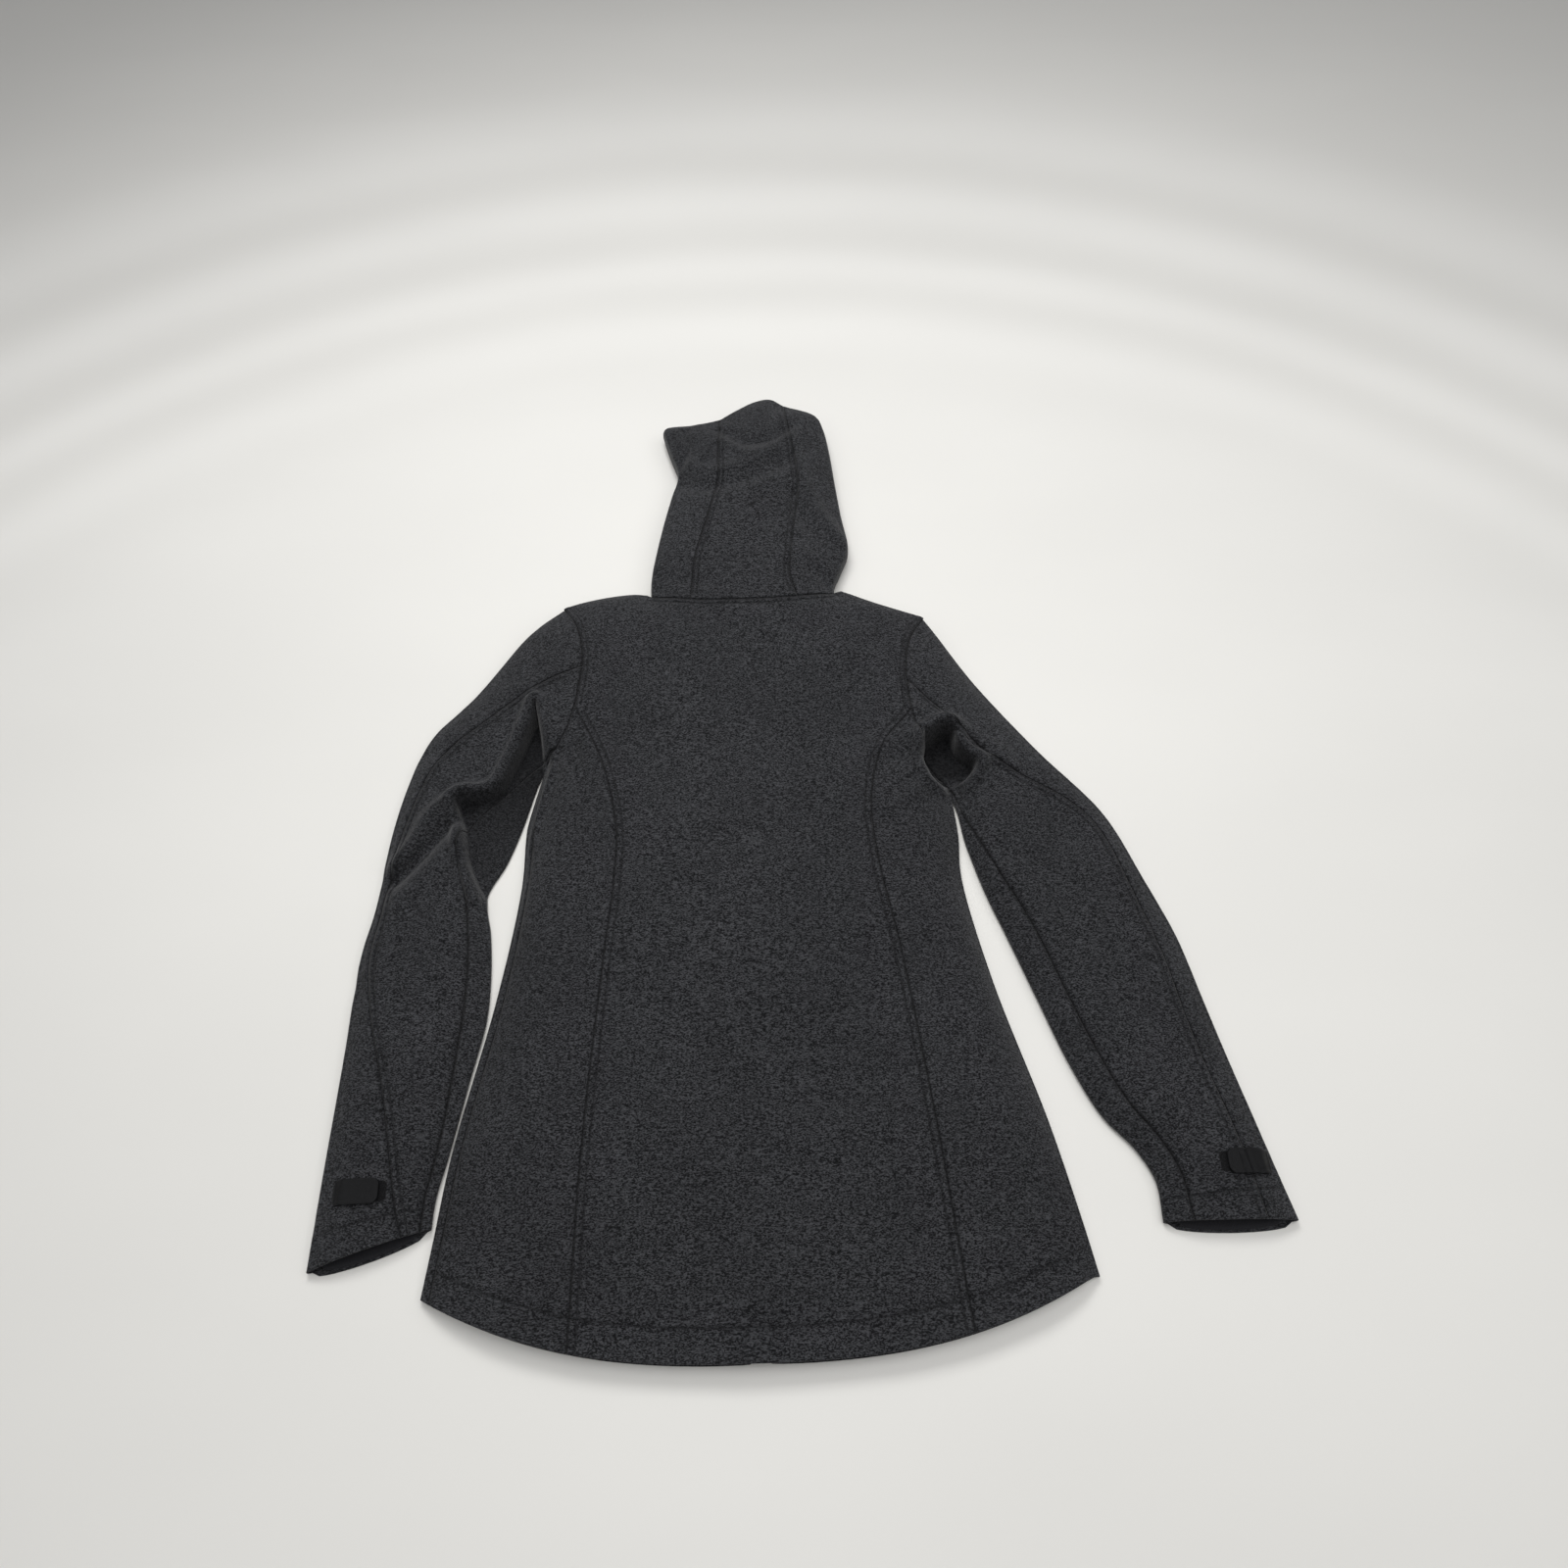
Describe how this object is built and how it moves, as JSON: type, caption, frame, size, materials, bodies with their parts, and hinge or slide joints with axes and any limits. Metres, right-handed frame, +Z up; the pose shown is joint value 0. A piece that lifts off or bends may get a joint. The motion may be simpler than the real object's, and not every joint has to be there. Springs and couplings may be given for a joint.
{
  "type": "softshell jacket",
  "caption": "Hooded zip-front softshell jacket laid flat with its back up, with folding sleeves and hood, sliding zips and peeling cuff tabs.",
  "frame": {"origin": "middle of the jacket's bounding rectangle, on the surface it lies on", "axes": "+Z up away from the surface, +Y along the back from the hem to the hood, +X across the back to the right sleeve"},
  "size_m": [0.8046, 1.0448, 0.0353],
  "materials": {
    "softshell": "matt heathered knit face",
    "lining_cloth": "matt woven",
    "label_cloth": "satin woven, blank",
    "zip_nylon": "satin moulded",
    "tab_rubber": "matt moulded",
    "hook_and_loop": "matt pile",
    "zip_metal": "semi-gloss enamel"
  },
  "bodies": {
    "jacket": {"back_panel": "softshell", "back_side_panel_left": "softshell", "back_side_panel_right": "softshell", "front_panel_left": "softshell", "front_panel_right": "softshell", "front_side_panel_left": "softshell", "front_side_panel_right": "softshell", "front_collar_left": "softshell", "front_collar_right": "softshell", "hem_facing_front_left": "lining_cloth", "hem_facing_front_right": "lining_cloth", "front_zip_tape_left": "lining_cloth", "front_zip_tape_right": "lining_cloth", "front_zip_chain_left": "zip_nylon", "front_zip_chain_right": "zip_nylon", "front_zip_top_stop_left": "zip_metal", "front_zip_top_stop_right": "zip_metal", "pocket_zip_tape_left": "lining_cloth", "pocket_zip_tape_right": "lining_cloth", "pocket_zip_chain_left": "zip_nylon", "pocket_zip_chain_right": "zip_nylon", "pocket_bag_left": "lining_cloth", "pocket_bag_right": "lining_cloth", "hem_facing_back": "lining_cloth", "neck_facing": "lining_cloth", "hanger_loop": "lining_cloth", "care_label": "label_cloth", "front_zip_box": "zip_nylon", "front_zip_pin": "zip_nylon", "wind_flap": "softshell", "chin_guard": "lining_cloth"},
    "front_zip_slider": {"front_zip_slider": "zip_metal"},
    "front_zip_pull": {"front_zip_pull": "zip_metal"},
    "hood": {"hood_center_panel": "softshell", "hood_side_left": "softshell", "hood_side_right": "softshell", "hood_brim_facing": "lining_cloth"},
    "pocket_zip_slider_left": {"pocket_zip_slider_left": "zip_metal"},
    "pocket_zip_pull_left": {"pocket_zip_pull_left": "zip_metal"},
    "sleeve_left": {"sleeve_front_left": "softshell", "sleeve_back_left": "softshell", "cuff_facing_left": "lining_cloth", "loop_patch_left": "hook_and_loop"},
    "cuff_tab_left": {"cuff_tab_left": "tab_rubber", "hook_patch_left": "hook_and_loop"},
    "pocket_zip_slider_right": {"pocket_zip_slider_right": "zip_metal"},
    "pocket_zip_pull_right": {"pocket_zip_pull_right": "zip_metal"},
    "sleeve_right": {"sleeve_front_right": "softshell", "sleeve_back_right": "softshell", "cuff_facing_right": "lining_cloth", "loop_patch_right": "hook_and_loop"},
    "cuff_tab_right": {"cuff_tab_right": "tab_rubber", "hook_patch_right": "hook_and_loop"}
  },
  "joints": [
    {"name": "front_zip_slide", "type": "slide", "parent": "jacket", "child": "front_zip_slider", "axis": [0, -1, 0], "range_m": [0, 0.69]},
    {"name": "front_pull_swing", "type": "hinge", "parent": "front_zip_slider", "child": "front_zip_pull", "pos_m": [-0.03952, 0.19611, 0.00466], "axis": [1, 0, 0], "range_deg": [0, 170]},
    {"name": "pocket_zip_slide_left", "type": "slide", "parent": "jacket", "child": "pocket_zip_slider_left", "axis": [0, -1, 0], "range_m": [0, 0.138]},
    {"name": "pocket_pull_swing_left", "type": "hinge", "parent": "pocket_zip_slider_left", "child": "pocket_zip_pull_left", "pos_m": [-0.17352, -0.23289, 0.00466], "axis": [1, 0, 0], "range_deg": [0, 170]},
    {"name": "sleeve_fold_left", "type": "hinge", "parent": "jacket", "child": "sleeve_left", "pos_m": [-0.21302, 0.11361, 0.03806], "axis": [0, 1, 0], "range_deg": [0, 110]},
    {"name": "cuff_tab_peel_left", "type": "hinge", "parent": "sleeve_left", "child": "cuff_tab_left", "pos_m": [-0.38652, -0.38539, 0.01378], "axis": [0, -1, 0], "range_deg": [0, 130]},
    {"name": "pocket_zip_slide_right", "type": "slide", "parent": "jacket", "child": "pocket_zip_slider_right", "axis": [0, -1, 0], "range_m": [0, 0.138]},
    {"name": "pocket_pull_swing_right", "type": "hinge", "parent": "pocket_zip_slider_right", "child": "pocket_zip_pull_right", "pos_m": [0.09448, -0.23289, 0.00466], "axis": [1, 0, 0], "range_deg": [0, 170]},
    {"name": "sleeve_fold_right", "type": "hinge", "parent": "jacket", "child": "sleeve_right", "pos_m": [0.12848, 0.11361, 0.03806], "axis": [0, -1, 0], "range_deg": [0, 110]},
    {"name": "cuff_tab_peel_right", "type": "hinge", "parent": "sleeve_right", "child": "cuff_tab_right", "pos_m": [0.38748, -0.38559, 0.01023], "axis": [0, 1, 0], "range_deg": [0, 130]},
    {"name": "hood_fold", "type": "hinge", "parent": "jacket", "child": "hood", "pos_m": [-0.03952, 0.21361, 0.03806], "axis": [1, 0, 0], "range_deg": [0, 170]}
  ]
}
